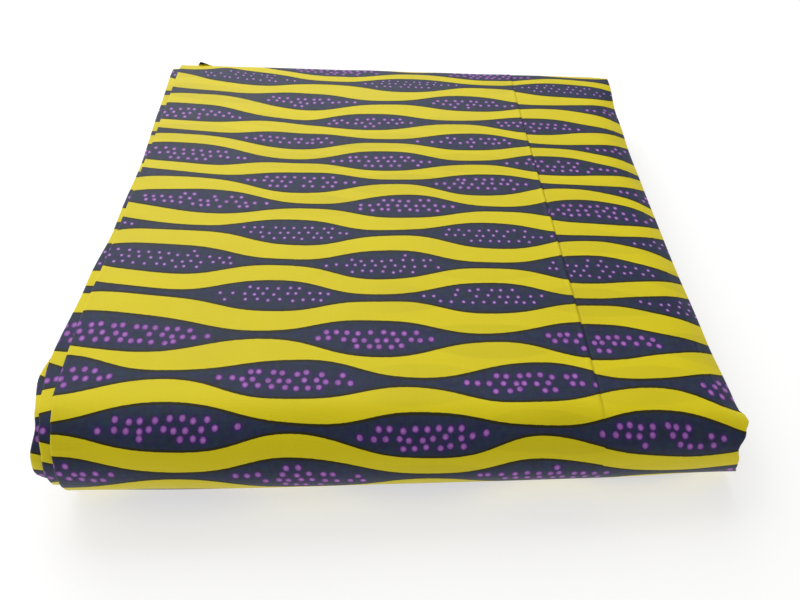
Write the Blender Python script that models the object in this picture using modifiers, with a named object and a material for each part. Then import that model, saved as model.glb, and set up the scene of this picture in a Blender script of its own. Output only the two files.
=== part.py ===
"""A cut length of wax print cotton, folded into a flat packet.

The cloth is folded selvedge to selvedge, plaited back and forth across X, and the
flat stack is then folded in two about its front edge. Each fold ridge of the stack
is a leaf that starts at the back of the top face, runs forward, turns down round
the front roll and comes back along the underside. The three outermost leaves are
pieces of their own, and the leaves inside them share one solid with layered edges.

Metres, +X to the right, +Y away from the front roll, +Z up. The origin is at the
middle of the packet's underside.
"""

import math

import bmesh
import bpy

PRINT_YELLOW = (0.74, 0.62, 0.05)
PRINT_NAVY = (0.045, 0.06, 0.11)

# Driving dimensions
PACKET_WIDTH = 0.300
TOP_LENGTH = 0.2815
ROLL_REACH_AT_LEFT = 0.0295
ROLL_REACH_AT_RIGHT = 0.0212
HEIGHT_AT_LEFT = 0.0535
HEIGHT_AT_RIGHT = 0.0405
LEAF_WALL = 0.0022
LEAF_GAP = 0.0004
LEAF_ROUNDING = 0.0009
RIM_ANGLE = 60.0
HIDDEN_LEAVES = 6
HIDDEN_CLEARANCE = 0.0003
CENTRE_SLIT = 0.0006

# Where the packet's nominal middle lies from the middle of its bounding box
MIDDLE_X = 0.0021
MIDDLE_Y = 0.0

LEFT_X = MIDDLE_X - PACKET_WIDTH / 2
RIGHT_X = MIDDLE_X + PACKET_WIDTH / 2
BACK_Y = MIDDLE_Y + (TOP_LENGTH + ROLL_REACH_AT_LEFT) / 2
ROLL_Y = BACK_Y - TOP_LENGTH
LEAF_PITCH = LEAF_WALL + LEAF_GAP

# Flat facets round the front roll
ROLL_STEPS = 10

# The long crease in the top face, given by its distance from the left edge
CREASE_AT_BACK = 0.2285
CREASE_AT_FRONT = 0.2415
CREASE_DROP = 0.0019
CREASE_DROP_WIDTH = 0.006
CREASE_RISE = 0.0009
CREASE_RISE_WIDTH = 0.045
CREASE_SHARE_AT_BACK = 0.35
CREASE_FULL_STATION = 0.12
CREASE_FADE_START = 0.72
CREASE_FADE_END = 1.35

# The right edge turns down and the back edge dips
CURL_DROP = 0.0030
CURL_WIDTH = 0.011
CURL_FADE_START = 0.9
CURL_FADE_END = 1.4
BACK_DIP = 0.0006
BACK_DIP_LENGTH = 0.012

# How far each inner leaf stops short of the leaf outside it, at the back
BACK_STEP = 0.0007

# A station is a place along a leaf: 0 at the back of the top face, 1 where the front
# roll begins, 1.5 at its foremost line, 2 where it ends and 3 at the back of the underside.
ROLL_START = 1.0
ROLL_FRONT = 1.5
ROLL_END = 2.0

# Columns: station, overhang past the nominal left edge, overhang past the right edge
OUTER_LEAF_EDGES = (
    (0.00, 0.0005, 0.0040),
    (0.15, 0.0000, 0.0024),
    (0.35, -0.0006, 0.0013),
    (0.60, -0.0003, 0.0018),
    (0.85, 0.0012, 0.0034),
    (0.98, 0.0002, 0.0042),
    (1.10, -0.0018, 0.0080),
    (1.20, -0.0026, 0.0052),
    (1.34, -0.0030, 0.0018),
    (1.46, -0.0024, 0.0034),
    (1.65, 0.0000, 0.0026),
    (2.00, 0.0010, 0.0010),
    (3.00, 0.0005, 0.0010),
)
SECOND_LEAF_EDGES = (
    (0.00, 0.0062, 0.0005),
    (0.20, 0.0046, -0.0012),
    (0.40, 0.0024, -0.0020),
    (0.60, 0.0034, -0.0020),
    (0.75, 0.0062, -0.0012),
    (0.93, 0.0088, -0.0006),
    (1.00, 0.0066, -0.0004),
    (1.15, 0.0038, 0.0010),
    (1.32, 0.0028, -0.0014),
    (1.48, 0.0038, 0.0000),
    (1.66, 0.0056, 0.0000),
    (2.00, 0.0050, -0.0010),
    (3.00, 0.0040, -0.0010),
)
THIRD_LEAF_EDGES = (
    (0.00, 0.0050, -0.0012),
    (0.25, 0.0030, -0.0020),
    (0.45, 0.0018, -0.0030),
    (0.65, 0.0040, -0.0026),
    (0.86, 0.0074, -0.0020),
    (0.95, 0.0124, -0.0014),
    (1.02, 0.0086, -0.0010),
    (1.17, 0.0066, 0.0000),
    (1.36, 0.0088, -0.0020),
    (1.50, 0.0098, -0.0010),
    (1.64, 0.0072, -0.0010),
    (2.00, 0.0040, -0.0020),
    (3.00, 0.0060, -0.0020),
)

OUTER_LEAVES = (
    ("outer_leaf", OUTER_LEAF_EDGES),
    ("second_leaf", SECOND_LEAF_EDGES),
    ("third_leaf", THIRD_LEAF_EDGES),
)

# The hidden leaves, outermost first
# Columns: overhang past the nominal left edge, past the right edge, past the back edge
HIDDEN_LEAF_EDGES = (
    (0.0060, -0.0030, -0.0030),
    (0.0082, -0.0012, -0.0012),
    (0.0048, -0.0042, -0.0040),
    (0.0070, -0.0022, -0.0018),
    (0.0044, -0.0008, -0.0034),
    (0.0062, -0.0034, -0.0014),
)
RIDGE_DEPTH = 0.0016
# The hidden leaves fan out at the left by this share of the third leaf's fanning
FAN_SHARE = 0.5
# Columns: place through the ridge's thickness, share of the ridge's depth set back
RIDGE_SECTION = ((0.00, 1.0), (0.24, 0.10), (0.76, 0.0))

TOP_STATIONS = (0.0, 0.02, 0.05, 0.20, 0.38, 0.56, 0.72, 0.84, 0.93)
UNDERSIDE_STATIONS = (2.0, 2.25, 2.6, 3.0)
LEFT_COLUMNS = (0.0, 0.025, 0.26, 0.52, 0.78, 0.965, 1.0)
RIGHT_COLUMNS = (0.055, 0.11, 0.35, 0.75, 0.89, 0.945, 0.98, 1.0)


def clear_scene():
    for leftover in list(bpy.data.objects):
        bpy.data.objects.remove(leftover, do_unlink=True)


def smooth(value):
    """An S curve from 0 to 1."""
    value = min(1.0, max(0.0, value))
    return value * value * (3.0 - 2.0 * value)


def mix(low, high, share):
    return low + (high - low) * share


def table_value(rows, station, column):
    """Read a column of a table of edges, eased from row to row."""
    for before, after in zip(rows, rows[1:]):
        if station <= after[0]:
            share = (station - before[0]) / (after[0] - before[0])
            return mix(before[column], after[column], smooth(share))
    return rows[-1][column]


def across_share(x):
    return (x - LEFT_X) / PACKET_WIDTH


def plain_height(x):
    """Height of the packet at x before any crease."""
    return mix(HEIGHT_AT_LEFT, HEIGHT_AT_RIGHT, across_share(x))


def roll_reach(x):
    """How far the front roll reaches forward of where it begins."""
    return mix(ROLL_REACH_AT_LEFT, ROLL_REACH_AT_RIGHT, across_share(x))


def crease_x(station):
    return LEFT_X + mix(CREASE_AT_BACK, CREASE_AT_FRONT, smooth(station))


def relief(x, station):
    """How far the top face stands above or below its plain height."""
    if station >= ROLL_FRONT:
        return 0.0
    past_crease = x - crease_x(station)
    drop = CREASE_DROP * smooth(past_crease / CREASE_DROP_WIDTH)
    rise = CREASE_RISE * smooth((past_crease - CREASE_DROP_WIDTH) / CREASE_RISE_WIDTH)
    fade = 1.0 - smooth((station - CREASE_FADE_START) / (CREASE_FADE_END - CREASE_FADE_START))
    fade *= mix(CREASE_SHARE_AT_BACK, 1.0, smooth(station / CREASE_FULL_STATION))
    right_edge = RIGHT_X + table_value(OUTER_LEAF_EDGES, station, 2)
    into_curl = max(0.0, 1.0 - (right_edge - x) / CURL_WIDTH)
    curl_fade = 1.0 - smooth((station - CURL_FADE_START) / (CURL_FADE_END - CURL_FADE_START))
    into_dip = max(0.0, 1.0 - station * TOP_LENGTH / BACK_DIP_LENGTH)
    return (rise - drop) * fade - CURL_DROP * into_curl ** 2 * curl_fade - BACK_DIP * into_dip ** 2


def leaf_point(x, station, depth, back_overhang, relief_share):
    """A point at a depth below the packet's outer surface."""
    lift = relief(x, station) * relief_share
    height = plain_height(x)
    reach = roll_reach(x)
    back_y = BACK_Y + back_overhang
    if station <= ROLL_START:
        return (x, mix(back_y, ROLL_Y, station), height + lift - depth)
    if station >= ROLL_END:
        return (x, mix(ROLL_Y, back_y, station - ROLL_END), depth)
    turn = math.pi * (station - ROLL_START)
    half_height = height / 2
    y = ROLL_Y - (reach - depth) * math.sin(turn)
    z = half_height + (half_height - depth) * math.cos(turn)
    return (x, y, z + lift * max(0.0, math.cos(turn)))


def leaf_stations():
    roll = [ROLL_START + step / ROLL_STEPS for step in range(ROLL_STEPS)]
    return list(TOP_STATIONS) + roll + list(UNDERSIDE_STATIONS)


def column_positions(left, right, crease):
    """Places across a leaf, from its left edge to the crease and on to its right edge."""
    to_crease = [mix(left, crease, share) for share in LEFT_COLUMNS]
    past_crease = [mix(crease, right, share) for share in RIGHT_COLUMNS]
    return to_crease + past_crease


def cloth_material(name, colour, roughness):
    material = bpy.data.materials.new(name)
    material.use_nodes = True
    shader = material.node_tree.nodes["Principled BSDF"]
    shader.inputs["Base Color"].default_value = (*colour, 1.0)
    shader.inputs["Roughness"].default_value = roughness
    shader.inputs["Metallic"].default_value = 0.0
    return material


def add_object(name, mesh, collection, material):
    piece = bpy.data.objects.new(name, mesh)
    collection.objects.link(piece)
    mesh.materials.append(material)
    return piece


def make_leaf(name, layer, edges, collection, material):
    """One outer leaf: an open sheet bent round the front, thickened inwards."""
    depth = layer * LEAF_PITCH
    stations = leaf_stations()
    columns = len(LEFT_COLUMNS) + len(RIGHT_COLUMNS)
    sheet = bmesh.new()
    bmesh.ops.create_grid(sheet, x_segments=columns - 1, y_segments=len(stations) - 1, size=0.5)
    sheet.verts.ensure_lookup_table()
    for index, vertex in enumerate(sheet.verts):
        station = stations[index // columns]
        left = LEFT_X - table_value(edges, station, 1)
        right = RIGHT_X + table_value(edges, station, 2)
        x = column_positions(left, right, crease_x(station))[index % columns]
        vertex.co = leaf_point(x, station, depth, -layer * BACK_STEP, 1.0)
    bmesh.ops.reverse_faces(sheet, faces=sheet.faces)
    mesh = bpy.data.meshes.new(name)
    sheet.to_mesh(mesh)
    sheet.free()
    mesh.shade_smooth()
    leaf = add_object(name, mesh, collection, material)
    wall = leaf.modifiers.new("Wall", "SOLIDIFY")
    wall.thickness = LEAF_WALL
    wall.offset = -1.0
    edge = leaf.modifiers.new("Rounded edge", "BEVEL")
    edge.width = LEAF_ROUNDING
    edge.segments = 2
    edge.limit_method = "ANGLE"
    edge.angle_limit = math.radians(RIM_ANGLE)
    return leaf


def ridge_levels():
    """Levels through the hidden leaves: share of the thickness, leaf, and set-back."""
    levels = []
    for leaf in range(HIDDEN_LEAVES):
        for place, set_back in RIDGE_SECTION:
            levels.append(((leaf + place) / HIDDEN_LEAVES, leaf, set_back))
    levels.append((1.0, HIDDEN_LEAVES - 1, 1.0))
    return levels


def hidden_edges(station, level):
    """Where a level of the hidden layers starts at the left and ends at the right."""
    leaf, set_back = level[1], level[2] * RIDGE_DEPTH
    left_over, right_over = HIDDEN_LEAF_EDGES[leaf][:2]
    fan = table_value(THIRD_LEAF_EDGES, station, 1) - THIRD_LEAF_EDGES[-1][1]
    left = LEFT_X - left_over - fan * FAN_SHARE + set_back
    return left, RIGHT_X + right_over - set_back


def hidden_point(x, station, level, first_depth):
    """A point of the hidden layers at x, on one level through their thickness."""
    share, leaf, set_back = level
    last_depth = (plain_height(x) - CENTRE_SLIT) / 2
    depth = mix(first_depth, last_depth, share)
    back = HIDDEN_LEAF_EDGES[leaf][2] - set_back * RIDGE_DEPTH
    return leaf_point(x, station, depth, back, 1.0 - share)


def make_hidden_layers(name, collection, material):
    """The leaves inside the outer three: one solid with a ridge for each leaf."""
    first_depth = len(OUTER_LEAVES) * LEAF_PITCH + HIDDEN_CLEARANCE
    stations = leaf_stations()
    levels = ridge_levels()
    solid = bmesh.new()

    def make_row(station, level, full):
        """The vertices of one level at one station, from left to right."""
        left, right = hidden_edges(station, level)
        places = column_positions(left, right, crease_x(station)) if full else [left, right]
        return [solid.verts.new(hidden_point(x, station, level, first_depth)) for x in places]

    def close_strip(upper, lower):
        """Faces between two rows, whose vertices match one to one or only at their ends."""
        if len(upper) == len(lower):
            for index in range(len(upper) - 1):
                solid.faces.new((upper[index], upper[index + 1], lower[index + 1], lower[index]))
        else:
            solid.faces.new(upper + lower[::-1])

    grid = []
    for station in stations:
        full_levels = len(levels) - 1 if station == 0.0 else 1
        grid.append([make_row(station, level, index < full_levels) for index, level in enumerate(levels)])
    for here, there in zip(grid, grid[1:]):
        close_strip(here[0], there[0])
        close_strip(here[-1], there[-1])
        for level in range(len(levels) - 1):
            for end in (0, -1):
                corners = (here[level][end], there[level][end], there[level + 1][end], here[level + 1][end])
                solid.faces.new(corners)
    for rows in (grid[0], grid[-1]):
        for upper, lower in zip(rows, rows[1:]):
            close_strip(upper, lower)
    bmesh.ops.recalc_face_normals(solid, faces=solid.faces)
    mesh = bpy.data.meshes.new(name)
    solid.to_mesh(mesh)
    solid.free()
    return add_object(name, mesh, collection, material)


def main():
    clear_scene()
    packet = bpy.data.collections.new("Folded wax print cloth")
    bpy.context.scene.collection.children.link(packet)
    colours = (PRINT_YELLOW, PRINT_YELLOW, PRINT_NAVY)
    for layer, (name, edges) in enumerate(OUTER_LEAVES):
        material = cloth_material(f"Printed cotton {name}", colours[layer], 0.75)
        make_leaf(name, layer, edges, packet, material)
    make_hidden_layers("hidden_layers", packet, cloth_material("Printed cotton edges", PRINT_YELLOW, 0.8))


if __name__ == "__main__":
    main()
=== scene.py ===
"""The looks of a folded length of wax print cotton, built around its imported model.

Every leaf of the packet is a sheet of cloth with rounded folds at its sides and layered
ends at the back. One print runs over all of them, laid out in millimetres of cloth:
wavy stripes that swell into lenses filled with dots, placed as in half-drop rows.
Metres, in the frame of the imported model.
"""

import math
from typing import NamedTuple

import bmesh
import bpy
from bpy.props import FloatProperty, FloatVectorProperty, PointerProperty
from mathutils import Matrix, Vector, noise


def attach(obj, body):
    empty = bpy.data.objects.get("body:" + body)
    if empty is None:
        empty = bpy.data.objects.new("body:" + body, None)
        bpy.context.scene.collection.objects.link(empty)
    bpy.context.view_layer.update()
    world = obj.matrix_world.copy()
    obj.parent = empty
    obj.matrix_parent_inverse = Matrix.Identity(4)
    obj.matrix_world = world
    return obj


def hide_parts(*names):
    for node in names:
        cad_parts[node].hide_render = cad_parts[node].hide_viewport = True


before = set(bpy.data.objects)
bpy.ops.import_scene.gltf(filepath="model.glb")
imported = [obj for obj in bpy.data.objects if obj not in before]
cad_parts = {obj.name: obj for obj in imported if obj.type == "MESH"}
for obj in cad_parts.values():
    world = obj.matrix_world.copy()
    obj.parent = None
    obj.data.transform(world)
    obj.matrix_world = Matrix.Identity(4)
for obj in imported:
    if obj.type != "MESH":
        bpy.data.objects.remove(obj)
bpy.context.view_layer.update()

bl_info = {
    "name": "Folded wax print cloth",
    "version": (1, 0, 0),
    "blender": (4, 5, 0),
    "location": "3D View > Sidebar > Folded cloth",
    "description": "Dresses a folded packet of wax print cotton and sets its stage",
    "category": "Add Mesh",
}

BODY = "root"
CLOTH_MAP = "Cloth"
CLOTH_PLACE = "cloth_place"
# Vertex attribute that marks folds and raw ends for paler colour: partly wear, partly a painted highlight
# on the fold ridges
WEAR_AND_HIGHLIGHT = "fold_wear"
MM = 0.001

# A station is a place along a leaf: 0 at the back of the top face, 1 where the front
# roll begins, 1.5 at its foremost line, 2 where it ends and 3 at the back of the underside.
MIDDLE_OF_TOP = 0.5
ROLL_START = 1.0
ROLL_FRONT = 1.5
ROLL_END = 2.0
BACK_OF_UNDERSIDE = 3.0

# The packet's own frame, as its solids have it
MIDDLE_X = 0.0021
BACK_Y = 0.1555
CENTRE_SLIT = 0.0006
HIDDEN_CLEARANCE = 0.0003
BACK_STEP = 0.0007

# The long crease in the top face, given by its distance from the left edge
CREASE_AT_BACK = 0.2326
CREASE_AT_FRONT = 0.2402
CREASE_TUCK = 0.0025
CREASE_RISE = 0.0003
CREASE_RISE_WIDTH = 0.045
CREASE_SHARE_AT_BACK = 0.30
CREASE_FULL_STATION = 0.55
CREASE_FADE_START = 0.72
CREASE_FADE_END = 1.35
# The cloth stands in a low lip before the crease and dips at its foot
LIP_BEFORE = 0.0005
LIP_RISE = 0.00020
LIP_WIDTH = 0.0012
FOOT_DIP = 0.00025
FOOT_WIDTH = 0.0008
# The top stands fullest at the crease and falls away to the right of it
FULL_RISE = 0.0016
FULL_START = 0.35
FULL_FADE_START = 0.85
FULL_FADE_END = 1.45

# The right edge turns down and the back edge dips
CURL_DROP = 0.0046
CURL_WIDTH = 0.020
CURL_SHARE_AT_BACK = 0.12
CURL_FULL_STATION = 0.15
CURL_FADE_START = 0.9
CURL_FADE_END = 1.4
BACK_DIP = 0.0006
BACK_DIP_LENGTH = 0.012
# The front roll is set back at both ends
ROLL_SETBACK_LEFT = 0.0015
ROLL_SETBACK_RIGHT = 0.0020
ROLL_SETBACK_WIDTH = 0.042
# A faint old fold runs along the right edge
OLD_FOLD_IN = 0.0078
OLD_FOLD_RISE = 0.00013
OLD_FOLD_WIDTH = 0.0007
# Soft swells, which fade out round the roll
# Columns: waves across a metre, waves along a station, the plane of noise they are read from
BROAD_SWELL = (14.0, 3.4, 4.0)
FINE_SWELL = (38.0, 7.5, 9.0)
FINE_SWELL_SHARE = 0.35
SWELL_FADE_START = 1.45
SWELL_FADE_END = 1.90

# Columns: station, overhang past the nominal left edge, overhang past the right edge
OUTER_LEAF_EDGES = (
    (0.00, 0.0005, 0.0040),
    (0.15, 0.0000, 0.0024),
    (0.35, -0.0006, 0.0013),
    (0.60, -0.0003, 0.0018),
    (0.85, 0.0012, 0.0034),
    (0.98, 0.0002, 0.0052),
    (1.04, -0.0007, 0.0072),
    (1.10, -0.0018, 0.0077),
    (1.20, -0.0026, 0.0052),
    (1.34, -0.0030, 0.0018),
    (1.46, -0.0024, 0.0034),
    (1.56, -0.0014, 0.0044),
    (1.66, 0.0000, 0.0072),
    (1.80, 0.0008, 0.0076),
    (2.00, 0.0010, 0.0030),
    (3.00, 0.0005, 0.0010),
)
SECOND_LEAF_EDGES = (
    (0.00, 0.0062, 0.0005),
    (0.20, 0.0046, -0.0012),
    (0.40, 0.0024, -0.0020),
    (0.60, 0.0034, -0.0020),
    (0.75, 0.0062, -0.0012),
    (0.93, 0.0088, -0.0006),
    (1.00, 0.0066, -0.0004),
    (1.15, 0.0038, 0.0010),
    (1.32, 0.0028, -0.0014),
    (1.48, 0.0038, 0.0000),
    (1.66, 0.0056, 0.0000),
    (2.00, 0.0050, -0.0010),
    (3.00, 0.0040, -0.0010),
)
THIRD_LEAF_EDGES = (
    (0.00, 0.0050, -0.0012),
    (0.25, 0.0030, -0.0020),
    (0.45, 0.0018, -0.0030),
    (0.65, 0.0040, -0.0026),
    (0.86, 0.0074, -0.0020),
    (0.95, 0.0124, -0.0014),
    (1.02, 0.0086, -0.0010),
    (1.17, 0.0066, 0.0000),
    (1.36, 0.0088, -0.0020),
    (1.50, 0.0098, -0.0010),
    (1.64, 0.0072, -0.0010),
    (2.00, 0.0040, -0.0020),
    (3.00, 0.0060, -0.0020),
)

# The hidden leaves, outermost first
# Columns: overhang past the nominal left edge, past the right edge, past the back edge
HIDDEN_LEAF_EDGES = (
    (0.0060, -0.0030, -0.0030),
    (0.0082, -0.0012, -0.0012),
    (0.0048, -0.0042, -0.0040),
    (0.0070, -0.0022, -0.0018),
    (0.0044, -0.0008, -0.0034),
    (0.0062, -0.0034, -0.0014),
)
# They follow this share of the third leaf's overhang at the left, and wander at both sides
FAN_SHARE = 0.5
SIDE_WANDER = 0.0012
SIDE_WANDER_WAVES = 4.0
SIDE_WANDER_PLANE = 8.0
# A hidden leaf fills this stretch of its share of the depth
HIDDEN_LEAF_FILL = (0.03, 0.93)
# What the rounded sides add to a leaf's width
SIDES_WIDTH = 0.004

# Rounded ridges along the left and right sides of a leaf, and along its two ends at the back
# Columns: how many, how far each wanders in and out, depth of the grooves, waves and start of its noise
OUTER_SIDE_RIDGES = (
    (1, 0.0003, 0.00110, 9.0, 0.0),
    (2, 0.0005, 0.00077, 9.0, 40.0),
)
HIDDEN_SIDE_RIDGES = (
    (1, 0.0003, 0.00150, 9.0, 0.0),
    (2, 0.0005, 0.00105, 9.0, 40.0),
)
BACK_RIDGES = {
    0.0: (4, 0.0010, 0.00070, 24.0, 0.0),
    BACK_OF_UNDERSIDE: (2, 0.0007, 0.00070, 24.0, 21.0),
}
# How far apart in the noise two ridges, and two leaves, are read
RIDGES_APART = 5.3
LEAVES_APART = 2.7
RIDGE_PLANE = 2.0

# How close the columns across a leaf stand, from left to right
# Columns: the edge they are counted from, place there, longest step from there to the next line
COLUMN_STEPS = (
    ("left", 0.0030, 0.0028),
    ("left", 0.0140, math.inf),
    ("crease", -0.0030, 0.0008),
    ("crease", 0.0000, 0.00035),
    ("crease", 0.0030, math.inf),
    ("right", -0.0120, 0.0010),
    ("right", -0.0100, 0.00035),
    ("right", -0.0058, 0.0015),
    ("right", -0.0015, math.inf),
)
# The rounded sides have columns of their own, counted from each edge
LEFT_COLUMNS = (0.0, 0.0004, 0.0010, 0.0019)
RIGHT_COLUMNS = (-0.0015, -0.0008, -0.0003, 0.0)
# Stations stand close together near the back, on the top and on the underside
TOP_BACK_STATIONS = (0.0, 0.0012, 0.0035, 0.008, 0.014)
TOP_START = 0.022
UNDERSIDE_END = 2.98
UNDERSIDE_BACK_STATIONS = (2.985, 2.9945, 2.9985, BACK_OF_UNDERSIDE)
# Cloth round the roll, and how much longer the steps along the plain underside are
ROLL_LENGTH = 0.073
UNDERSIDE_STEP = 3.0

# The outer leaves, outermost first
# Columns: node, edges, where its cloth starts in the print along and across the rows, step of its columns
OUTER_LEAF_TABLE = (
    ("outer_leaf", OUTER_LEAF_EDGES, (0.000, 0.000), 0.003),
    ("second_leaf", SECOND_LEAF_EDGES, (0.024, 0.001), 0.008),
    ("third_leaf", THIRD_LEAF_EDGES, (0.034, -0.001), 0.008),
)
OUTER_LEAVES = len(OUTER_LEAF_TABLE)
OUTER_STATION_STEP = 0.0025
HIDDEN_COLUMN_STEP = 0.010
HIDDEN_STATION_STEP = 0.0045
# The cloth of the first hidden leaf starts here in the print, and that of each next one further on
HIDDEN_PRINT_START = (0.071, 0.002)
HIDDEN_PRINT_STEP = 0.047
# Cloth taken up by the rounded back edge of the top, less where it was pulled back
BACK_TAKE_UP = 0.008
BACK_TAKE_UP_LENGTH = 0.018
PULLED_TAKE_UP = 0.2
# The cloth was pulled back at the left, so its rows bend there
PULL = 0.0117
PULL_REACH = 0.060
PULL_START = 0.028
PULL_END = 0.073
# They also turn back at the left edge, more so towards the front, and forward at the right one
SKEW = 0.0024
SKEW_LENGTH_LEFT = 0.060
SKEW_LENGTH_RIGHT = 0.040
SKEW_GROWTH = 0.0020
# Columns: distance from the back where each of these changes starts, and where it ends
SKEW_GROWS = (0.110, 0.170)
SKEW_FADES_LEFT = (0.215, 0.275)
SKEW_FADES_RIGHT = (0.205, 0.265)
# Rows are drawn out of line at these places
# Columns: from the left edge, from the back edge, width, length, how far back the print lies
DRAWN_BACK = (
    (0.022, 0.012, 0.024, 0.015, -0.0028),
    (0.066, 0.013, 0.018, 0.014, 0.0034),
    (0.094, 0.075, 0.022, 0.045, -0.0040),
    (0.054, 0.271, 0.030, 0.015, 0.0030),
    (0.281, 0.271, 0.024, 0.014, 0.0030),
    (0.098, 0.296, 0.026, 0.015, 0.0026),
    (0.157, 0.296, 0.030, 0.015, -0.0030),
    (0.210, 0.296, 0.022, 0.015, 0.0028),
)

# A corner of the second leaf is turned up over the back edge, near its left end
CORNER_LEFT = 0.0103
CORNER_WIDTH = 0.0130
CORNER_PEAK = 0.28
CORNER_RISE = 0.0040
CORNER_LOW = 0.0004
# Its edge is steep before the peak and gentle past it, and it leans and waves a little
CORNER_STEEPNESS = 0.8
CORNER_FALL = 0.9
CORNER_FALL_STEEPNESS = 1.2
CORNER_LEAN = 0.12
CORNER_WAVE = 0.0003
CORNER_WAVES = 300.0
CORNER_ROOT = 0.0066
CORNER_DEPTH = 0.0024
CORNER_BEHIND = 0.0009
# Where it turns up, behind the leaf's end and above it, as shares of CORNER_BEHIND
CORNER_TURN_BACK = 0.7
CORNER_TURN_UP = 0.3
# The outward side of its cloth: at its root, where it turns up, and where it stands
CORNER_OUT_AT_ROOT = Vector((0.0, 0.0, -1.0))
CORNER_OUT_AT_TURN = Vector((0.0, 0.7, -0.7))
CORNER_OUT_STANDING = Vector((0.0, 1.0, 0.0))
CORNER_THICKNESS = 0.00028
CORNER_COLUMNS = 28
CORNER_ROOT_ROWS = 5
CORNER_ROWS = 14
CORNER_PRINT_START = (0.089, 0.0065)

# Levels through a leaf, from its outer side to its inner side, closest at both
LEVELS = (0.0, 0.02) + tuple(step / 12 for step in range(1, 12)) + (0.98, 1.0)

# One repeat of the print, charted row by row from the back edge of the packet
# Columns: millimetres to the next row, how far the row's lenses sit from an even
# half-drop in millimetres, dot size from small to large, fullness of the lenses
PRINT_ROWS = (
    (23.5, 16, 0.0, 0.96),
    (23.5, 1, 0.6, 0.90),
    (21.0, -8, 0.6, 0.92),
    (21.0, -1, 0.6, 0.94),
    (20.5, -1, 0.6, 1.06),
    (22.5, 6, 0.6, 1.06),
    (22.5, 12, 0.6, 1.04),
    (24.5, 6, 0.1, 1.00),
    (22.5, 2, 0.1, 1.02),
    (26.0, -1, 0.1, 0.94),
    (26.0, -4, 1.0, 0.95),
    (25.0, 13, 1.0, 1.00),
    (22.0, 18, 1.0, 0.99),
    (22.5, 20, 1.0, 1.12),
)
FULLNESS_RANGE = 1.25
SHIFT_RANGE = 80.0
# Lenses lean by a share of a row, each row in its own way
LEAN = 0.03
LEAN_TURN = 2.3
# Dots lie unevenly, by shares of their spacing, are longer than wide, and a few are left out
# A row's own chance is read between two columns of the dots' chances
DOT_STAGGER = 0.3
BETWEEN_COLUMNS = 0.5
DOT_UNEVEN_ACROSS = 0.40
DOT_UNEVEN_ALONG = 0.32
DOT_LENGTH = 1.1
DOTS_KEPT = 0.94
NO_DOT = 10.0
# Lenses drift from their even places: scale of the noise, and millimetres across and along
DRIFT_SCALE = 0.010
DRIFT = (6.0, 2.5)
# They also drift outwards towards the sides, less so at the roll and in the first row
# Columns: millimetres across or along where the change starts and ends, drift or share there
OUT_AT_LEFT = (20.0, 110.0, 5.0, 0.0)
OUT_AT_LEFT_EDGE = (0.0, 35.0, 12.0, 0.0)
OUT_AT_RIGHT = (266.0, 302.0, 0.0, 9.0)
BEHIND_ROLL = (252.0, 261.0, 1.0, 0.0)
PAST_FIRST_ROW = (24.0, 32.0, 0.0, 1.0)

# Unevenness of the cotton and its dye, as noise over metres of cloth
# Columns: scale, detail
RAGGED_EDGES = (420.0, 1.0)
DYE_PATCHES = (26.0, 3.0)
THIN_PLACES = (7.0, 1.0)
FLECKS = (300.0, 1.0)
SCUFFS = (160.0, 3.0)
# Single threads differ in tone: noise a millimetre across a thread and along it
ACROSS_THREADS = 2.2
ALONG_THREADS = 0.05
# Columns: what the dye patches change, what the threads change
GROUND_UNEVEN = (0.12, 0.035)
STRIPE_UNEVEN = (0.50, 0.40)
DOT_UNEVEN = (0.30, 0.60)
ROUGHNESS_UNEVEN = (0.14, -0.08)
# What ragged edges change, in millimetres or in tone
RAGGED_STRIPE = 0.22
RAGGED_DOT = 0.3
RAGGED_DOT_TONE = 0.9
FLECK_SHARE = 0.45
# What leaves a colour as it is, and what brings noise about a half up to about one
UNCHANGED = (1.0, 1.0, 1.0)
DOUBLED = (2.0, 2.0, 2.0)
# A faint second print of the lenses lies beside the necks, where the cotton is thin
GHOST_BACK = 0.8
GHOST_EDGE = 1.2
GHOST_SHARE = 0.07
THIN_LEVEL = 0.40
THIN_STEEPNESS = 5.0
# Softness of the print's edges, in millimetres
STRIPE_EDGE = 0.12
OUTLINE_EDGE = 0.2
DOT_EDGE = 0.25
HALO_REACH = 0.70
HALO_EDGE = 1.3
HALO_SHARE = 0.80
CORE_INSET = 0.50
CORE_EDGE = 0.7
CORE_SHARE_AT_RIM = 0.15
# Finish of the cotton
BUMP_STRENGTH = 0.35
BUMP_HEIGHT = 0.00012
BUMP_THREADS = 0.5
BUMP_UNEVEN = (0.6, 0.8)
ROUGHNESS = 0.47
COTTON_FINISH = {"Specular IOR Level": 0.19, "Sheen Weight": 0.02, "Sheen Roughness": 0.45}
# How pale the folds and raw ends are painted on the leaves that show and on the hidden edges: partly wear,
# partly a painted highlight on the rounded fold ridges
WEAR_AND_HIGHLIGHT_ON_FACES = 0.012
WEAR_AND_HIGHLIGHT_ON_EDGES = 0.22

# The camera that took the photograph, as fitted to the packet's straight edges
CAMERA_PLACE = (0.00267, -0.30185, 0.30478)
CAMERA_RIGHT = (0.99993, -0.01065, -0.00468)
CAMERA_DOWN = (-0.01102, -0.73806, -0.67464)
CAMERA_FORWARD = (0.00373, 0.67465, -0.73813)
SENSOR_WIDTH = 36.0

# The stage: places and sizes of the lights, and half the floor's width
KEY_PLACE = (-0.39, 1.35, 1.22)
KEY_SIZE = 1.9
SIDE_PLACE = (-1.0, 0.25, 0.75)
SIDE_SIZE = 1.5
FLOOR_REACH = 4.0
WHITE = (1.0, 1.0, 1.0, 1.0)
FLOOR_FINISH = {"Roughness": 0.9, "Specular IOR Level": 0.1, "Emission Color": WHITE}


def amount(name, description, default, **kind):
    """A number that a user can change, with its unit or subtype where one fits."""
    return FloatProperty(name=name, description=description, default=default, **kind)


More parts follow.
